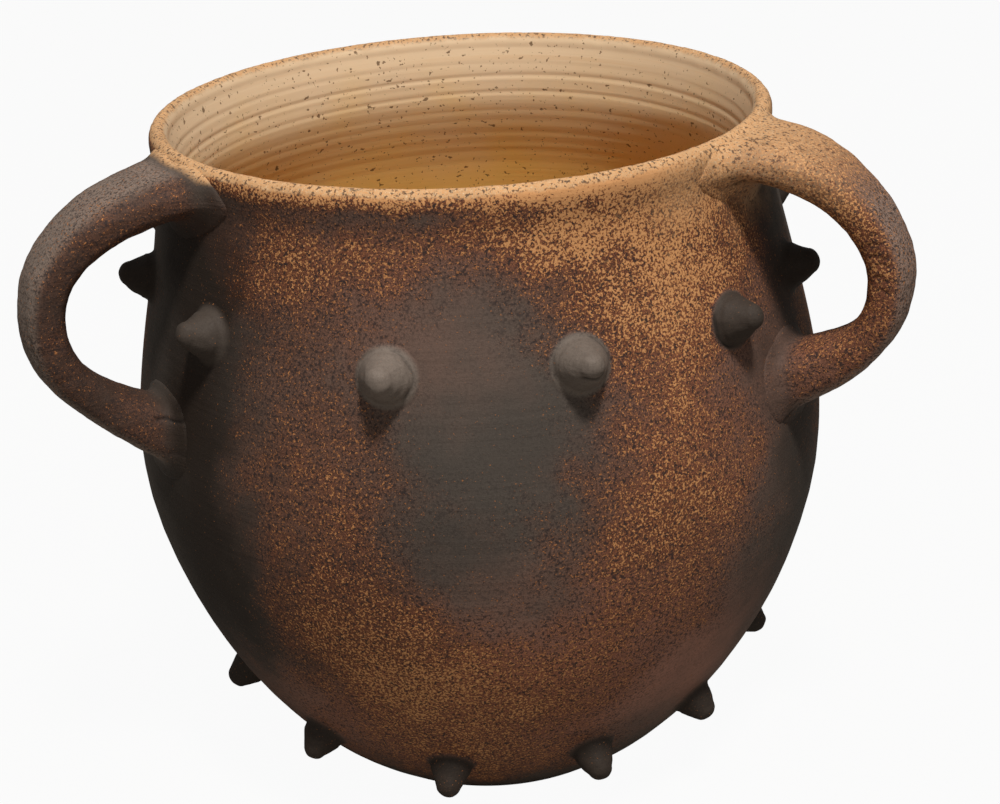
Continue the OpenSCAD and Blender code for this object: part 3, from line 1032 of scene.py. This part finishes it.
def fired_group():
    """Slip broken by iron specks and dark grains: colour, roughness and height."""
    finish = finish_colours()
    tree, wires, given, out = new_group(
        "Fired clay",
        [("Vector", VECTOR, None), ("Rust", FLOAT, 0.3), ("Mauve", FLOAT, 0.0), ("Char", FLOAT, 0.0),
         ("Tan", FLOAT, 0.0), ("Crease", FLOAT, 0.0), ("Dust_and_light", FLOAT, 0.0)],
        [("Color", COLOUR), ("Roughness", FLOAT), ("Height", FLOAT)])
    vector = given["Vector"]
    specks = wires.noise(vector, 1050.0, 2.0, 0.6)
    grains = wires.noise(vector, 900.0, 2.0, 0.6)
    grit = wires.noise(vector, 2200.0, 1.0, 0.6)
    blots = wires.noise(vector, 420.0, 2.0, 0.5)
    cloud = wires.noise(vector, 70.0, 4.0, 0.62)
    broad = wires.noise(vector, 14.0, 1.0, 0.5)
    streaks = wires.noise(wires.stretched(vector, (9.0, 9.0, 420.0)), 1.0, 3.0, 0.55)
    rust = wires.stirred(cloud, 0.45, given["Rust"])
    rust = wires.most(rust, 0.0)
    # Charred slip, which also carries the painted shade under the handles
    slip = wires.mix(given["Char"], finish["ash"], finish["char"])
    slip = wires.mix(wires.times(given["Mauve"], 0.85), slip, finish["mauve"])
    slip = wires.mix(wires.ramp(rust, 0.1, 0.75, 0.0, 0.7), slip, finish["brown"])
    # Pale bloom together with painted light on the faces that catch the lamp
    slip = wires.mix(given["Dust_and_light"], slip, finish["dust"])
    tone = wires.times(broad, 0.6, wires.times(streaks, 0.3, 0.55))
    lively = wires.ramp(rust, 0.0, 0.5, 0.5, 2.4)
    tone = wires.stirred(grit, lively, tone)
    slip = wires.mix(1.0, slip, wires.grey(tone), "MULTIPLY")
    dark = wires.times(wires.ramp(grains, 0.50, 0.62), wires.ramp(rust, 0.0, 0.4, 0.15, 0.85))
    slip = wires.mix(dark, slip, finish["blue_black"])
    edge = wires.times(rust, -0.23, 0.685)
    over = wires.math("SUBTRACT", wires.times(grit, 0.2, wires.times(specks, 0.8)), edge)
    speckled = wires.times(wires.ramp(over, -0.015, 0.035), 0.92)
    bright = wires.times(wires.ramp(over, -0.01, 0.10, 0.25, 1.0), wires.ramp(rust, 0.15, 0.8, 0.35, 1.0))
    orange = wires.mix(bright, finish["rust"], finish["pale_rust"])
    fired = wires.mix(speckled, slip, orange)
    blotted = wires.times(wires.ramp(blots, 0.635, 0.69, 0.0, 0.7), wires.ramp(rust, 0.1, 0.5))
    fired = wires.mix(blotted, fired, finish["blue_black"])
    bare = wires.mix(wires.ramp(grit, 0.35, 0.7), finish["tan"], finish["pale_rust"])
    bare = wires.mix(1.0, bare, wires.grey(wires.times(cloud, 0.5, 0.75)), "MULTIPLY")
    dots = wires.noise(vector, 760.0, 2.0, 0.55)
    bare = wires.mix(wires.ramp(dots, 0.54, 0.63, 0.0, 0.78), bare, finish["blue_black"])
    bare = wires.mix(wires.ramp(grains, 0.58, 0.72, 0.0, 0.6), bare, finish["cream"])
    fired = wires.mix(given["Tan"], fired, bare)
    # Painted shade darkens the cracks and creases
    fired = wires.mix(wires.times(given["Crease"], 0.8), fired, finish["soot"])
    wires.feed(out["Color"], fired)
    wires.feed(
        out["Roughness"], wires.times(speckled, 0.1, wires.times(grains, 0.2, 0.58)))
    raised = wires.ramp(specks, 0.583, 0.646, 0.0, 0.18)
    wires.feed(out["Height"], wires.times(grains, 0.7, wires.math("ADD", raised, streaks)))
    return tree


def clay_material(name, adapt, bump=0.35):
    """A material of fired clay; adapt gets the wiring and the kiln's fields and gives its own."""
    material = bpy.data.materials.new(name)
    wires = fresh_wiring(material)
    vector = wires.add("ShaderNodeTexCoord").outputs["Object"]
    fields = wires.group("Kiln fields", kiln_fields, {"Vector": vector})
    fields = {label: fields[label] for label in FIELDS}
    values = {**fields, **adapt(wires, vector, fields), "Vector": vector}
    clay = wires.group("Fired clay", fired_group, values)
    relief = wires.add("ShaderNodeBump", {"Strength": bump, "Distance": RELIEF, "Height": clay["Height"]})
    shader = wires.add("ShaderNodeBsdfPrincipled", {
        "Base Color": clay["Color"], "Roughness": clay["Roughness"],
        "Specular IOR Level": CLAY_SHEEN, "Normal": relief.outputs[0]})
    wires.add("ShaderNodeOutputMaterial", {"Surface": shader.outputs[0]})
    return material, wires, shader, clay, relief


def thrown_clay():
    """The pot's finish: fired clay outside, bare tan clay on the lip, cream glaze inside."""
    finish = finish_colours()

    def adapt(wires, vector, fields):
        wander = wires.noise(vector, 90.0, 3.0, 0.6)
        distance = wires.stirred(wander, 0.004, wires.attribute("lip_distance"))
        band = wires.most(wires.ramp(distance, *BARE_FROM), fields["Tan"])
        line = wires.ramp(distance, *RUSTY_FROM)
        return {"Tan": band, "Rust": wires.times(line, 0.7, fields["Rust"])}

    material, wires, shader, clay, relief = clay_material("speckled_clay", adapt)
    vector = wires.add("ShaderNodeTexCoord").outputs["Object"]
    height = wires.add("ShaderNodeSeparateXYZ", {0: vector}).outputs[2]
    wander = wires.noise(vector, 130.0, 3.0, 0.6)
    distance = wires.stirred(wander, 0.003, wires.attribute("lip_distance"))
    inside = wires.ramp(distance, *GLAZED_FROM)
    cloud = wires.noise(vector, 26.0, 3.0, 0.55)
    level = wires.stirred(cloud, 0.05, height)
    glaze = wires.mix(wires.ramp(level, *HONEY_BELOW), finish["cream"], finish["honey"])
    glaze = wires.mix(wires.ramp(level, *AMBER_BELOW, 0.0, 0.55), glaze, finish["amber"])
    rings = wires.noise(wires.stretched(vector, (5.0, 5.0, 330.0)), 1.0, 3.0, 0.6)
    glaze = wires.mix(wires.ramp(rings, 0.55, 0.75, 0.0, 0.12), glaze, finish["amber"])
    small = wires.noise(vector, 560.0, 2.0, 0.5)
    large = wires.noise(wires.stretched(vector, (250.0, 250.0, 330.0)), 1.0, 2.0, 0.5)
    specks = wires.most(wires.ramp(small, 0.66, 0.71), wires.ramp(large, 0.675, 0.71))
    glaze = wires.mix(wires.times(specks, 0.8), glaze, finish["iron"])
    wires.feed(shader.inputs["Base Color"], wires.mix(inside, clay["Color"], glaze))
    wires.feed(shader.inputs["Roughness"], wires.blend(inside, clay["Roughness"], 0.5))
    smooth = wires.times(rings, 0.5, wires.times(specks, -0.4))
    wires.feed(relief.inputs["Height"], wires.blend(inside, clay["Height"], smooth))
    return material


def seated(wires, fields, own, factor):
    """Blends the wall's own fields into a pressed-on piece's where its clay is smeared out."""
    return {"Crease": wires.attribute("crease"), **{
        label: wires.blend(factor, fields[label], value) for label, value in own.items()}}


def lip_line(wires, vector):
    """Bare tan clay where a strap's clay lies on the lip."""
    height = wires.add("ShaderNodeSeparateXYZ", {0: vector}).outputs[2]
    near = wires.ramp(wires.attribute("off_wall"), 0.004, 0.0005)
    return wires.times(near, wires.ramp(height, POT_TOP - 6 * MM, POT_TOP - 3 * MM))


def top_face(wires, strength):
    """Where a strap's outer or upper face is, which is paled with painted top light."""
    return wires.ramp(wires.attribute("outward"), 0.45, 0.85, 0.0, strength)


def left_clay():
    """The left handle's finish: dark slip with fine rust specks, and pale bloom with painted light on its top face.
    """

    def adapt(wires, vector, fields):
        rust = add_patch(wires, vector, (-128, -74, 268), (60, 60, 40), 0.08, 0.26)
        body = wires.ramp(wires.attribute("off_wall"), 0.0005, 0.008)
        own = seated(wires, fields, {"Rust": rust, "Mauve": 0.1, "Char": 0.75, "Tan": 0.0}, body)
        own["Tan"] = wires.most(own["Tan"], lip_line(wires, vector))
        # Painted light: the top face is paled where it catches the lamp
        return {**own, "Dust_and_light": wires.times(body, top_face(wires, 0.5))}

    return clay_material("left_strap", adapt, 0.5)[0]


def right_clay():
    """The right handle's finish: tan clay at its root, mauve-grey lower down, where the grey of the outer face is a
    painted sheen.
    """

    def adapt(wires, vector, fields):
        tan = add_patch(wires, vector, (112, -62, 292), (74, 74, 46), 0.85)
        rust = add_patch(wires, vector, (136, -78, 262), (90, 90, 90), 0.45, 0.36)
        body = wires.ramp(wires.attribute("off_wall"), 0.0005, 0.010)
        own = seated(wires, fields, {"Rust": rust, "Mauve": 0.4, "Char": 0.25, "Tan": tan}, body)
        own["Tan"] = wires.most(own["Tan"], lip_line(wires, vector))
        # Painted sheen: lower down, the outer face loses its rust and tan and is paled to grey, as a lit shining
        # face
        outer = wires.times(top_face(wires, 1.0), wires.ramp(wires.attribute("along"), 0.22, 0.42))
        own["Rust"] = wires.blend(wires.times(outer, 0.6), own["Rust"], 0.2)
        own["Tan"] = wires.blend(wires.times(outer, 0.8), own["Tan"], 0.0)
        return {**own, "Dust_and_light": wires.times(wires.times(outer, body), 0.45)}

    return clay_material("right_strap", adapt, 0.5)[0]


def upper_clay():
    """The upper studs' finish: matt grey-brown slip that thins out over the smeared foot, with painted light that
    pales the lit front studs.
    """

    def adapt(wires, vector, fields):
        body = wires.ramp(wires.attribute("spread"), 1.0, 0.8)
        # Painted light: a stud with more bloom is paler and less charred, as the lit studs are
        char = wires.ramp(wires.attribute("bloom_and_light"), 0.0, 0.35, 0.85, 0.25)
        own = seated(wires, fields, {"Rust": 0.0, "Mauve": 0.0, "Char": char, "Tan": 0.0}, body)
        return {**own, "Dust_and_light": wires.times(body, wires.attribute("bloom_and_light"))}

    return clay_material("upper_stud", adapt, 0.3)[0]


def lower_clay():
    """The lower studs' finish: near-black slip."""

    def adapt(wires, vector, fields):
        body = wires.ramp(wires.attribute("spread"), 1.08, 0.78)
        return seated(wires, fields, {"Rust": 0.1, "Mauve": 0.0, "Char": 0.8, "Tan": 0.0}, body)

    return clay_material("lower_stud", adapt, 0.4)[0]


# The stage

# Name, place, size and power of each soft lamp
LAMPS = [
    ("overhead_lamp", (0.2, -0.78, 1.85), 0.25, 35),
    ("front_lamp", (0.4, -2.1, 0.7), 1.2, 4)]
AIR_LIGHT = 0.25
FLOOR_GLOW = 0.95
FLOOR_SIZE = 14
# The camera that was fitted to the photo: place, tilt and roll in degrees, focal length in mm
CAMERA_PLACE = (8.9 * MM, -653.4 * MM, 458.7 * MM)
CAMERA_TILT = 64.89
CAMERA_ROLL = -3.05
CAMERA_LENS = 57.67


def pale_floor():
    """A pale floor that the camera sees as white, with the object's shadow on it."""
    material = bpy.data.materials.new("pale_floor")
    wires = fresh_wiring(material)
    matt = wires.add("ShaderNodeBsdfPrincipled", {
        "Base Color": finish_colours()["floor"], "Roughness": 0.9, "Specular IOR Level": 0.1})
    glow = wires.add("ShaderNodeEmission", {"Color": (1, 1, 1, 1), "Strength": 1.0})
    wires.add("ShaderNodeOutputMaterial", {"Surface": seen_as_white(wires, FLOOR_GLOW, matt, glow)})
    return material


def white_air():
    """Plain light from all sides, and white where the camera looks past the floor."""
    world = bpy.data.worlds.new("plain_air")
    bpy.context.scene.world = world
    wires = fresh_wiring(world)
    soft = wires.add("ShaderNodeBackground", {"Color": (1.0, 0.985, 0.96, 1), "Strength": AIR_LIGHT})
    white = wires.add("ShaderNodeBackground", {"Color": (1, 1, 1, 1), "Strength": 1.0})
    wires.add("ShaderNodeOutputWorld", {"Surface": seen_as_white(wires, 1.0, soft, white)})


class CAULDRON_OT_stage(bpy.types.Operator):
    """Sets the floor, the lamps and the camera"""
    bl_idname = "cauldron.stage"
    bl_label = "Set the stage"

    def execute(self, context):
        deselect()
        bpy.ops.mesh.primitive_plane_add(size=FLOOR_SIZE, location=(0, 0, 0))
        floor = context.object
        floor.name = "studio_floor"
        floor.data.materials.append(pale_floor())
        white_air()
        for name, place, size, power in LAMPS:
            lamp = bpy.data.lights.new(name, "AREA")
            lamp.size = size
            lamp.energy = power
            lamp.color = (1.0, 0.97, 0.93)
            lamp_object = link_new(name, lamp)
            lamp_object.location = place
            aim = Vector((0, 0, POT_TOP / 2)) - lamp_object.location
            lamp_object.rotation_euler = aim.to_track_quat("-Z", "Y").to_euler()
        camera = bpy.data.cameras.new("photo_camera")
        camera.sensor_width = 36
        camera.lens = CAMERA_LENS
        camera.clip_start = 0.01
        camera_object = link_new("photo_camera", camera)
        tilt = Matrix.Rotation(math.radians(CAMERA_TILT), 4, "X")
        roll = Matrix.Rotation(math.radians(CAMERA_ROLL), 4, "Z")
        camera_object.matrix_world = Matrix.Translation(CAMERA_PLACE) @ tilt @ roll
        context.scene.camera = camera_object
        context.scene.view_settings.view_transform = "Standard"
        return {"FINISHED"}


class CAULDRON_PT_steps(bpy.types.Panel):
    """The steps of making the cauldron, in order"""
    bl_label = "Clay cauldron"
    bl_idname = "CAULDRON_PT_steps"
    bl_space_type = "VIEW_3D"
    bl_region_type = "UI"
    bl_category = "Cauldron"

    def draw(self, context):
        for step in STEPS:
            self.layout.operator(step.bl_idname)


STEPS = [CAULDRON_OT_pot, CAULDRON_OT_handles, CAULDRON_OT_upper_studs, CAULDRON_OT_lower_studs, CAULDRON_OT_stage]
SETTINGS = {
    "cauldron_pot": CAULDRON_PG_pot,
    "cauldron_left": CAULDRON_PG_left_handle,
    "cauldron_right": CAULDRON_PG_right_handle,
    "cauldron_straps": CAULDRON_PG_straps,
    "cauldron_studs": CAULDRON_PG_studs,
    "cauldron_finish": CAULDRON_PG_finish,
}


def register():
    for group in SETTINGS.values():
        bpy.utils.register_class(group)
    for name, group in SETTINGS.items():
        setattr(bpy.types.Scene, name, PointerProperty(type=group))
    for step in STEPS:
        bpy.utils.register_class(step)
    bpy.utils.register_class(CAULDRON_PT_steps)


def unregister():
    bpy.utils.unregister_class(CAULDRON_PT_steps)
    for step in reversed(STEPS):
        bpy.utils.unregister_class(step)
    for name, group in SETTINGS.items():
        delattr(bpy.types.Scene, name)
        bpy.utils.unregister_class(group)


def main():
    register()
    bpy.ops.cauldron.pot()
    bpy.ops.cauldron.handles()
    bpy.ops.cauldron.upper_studs()
    bpy.ops.cauldron.lower_studs()
    bpy.ops.cauldron.stage()


if __name__ == "__main__":
    main()
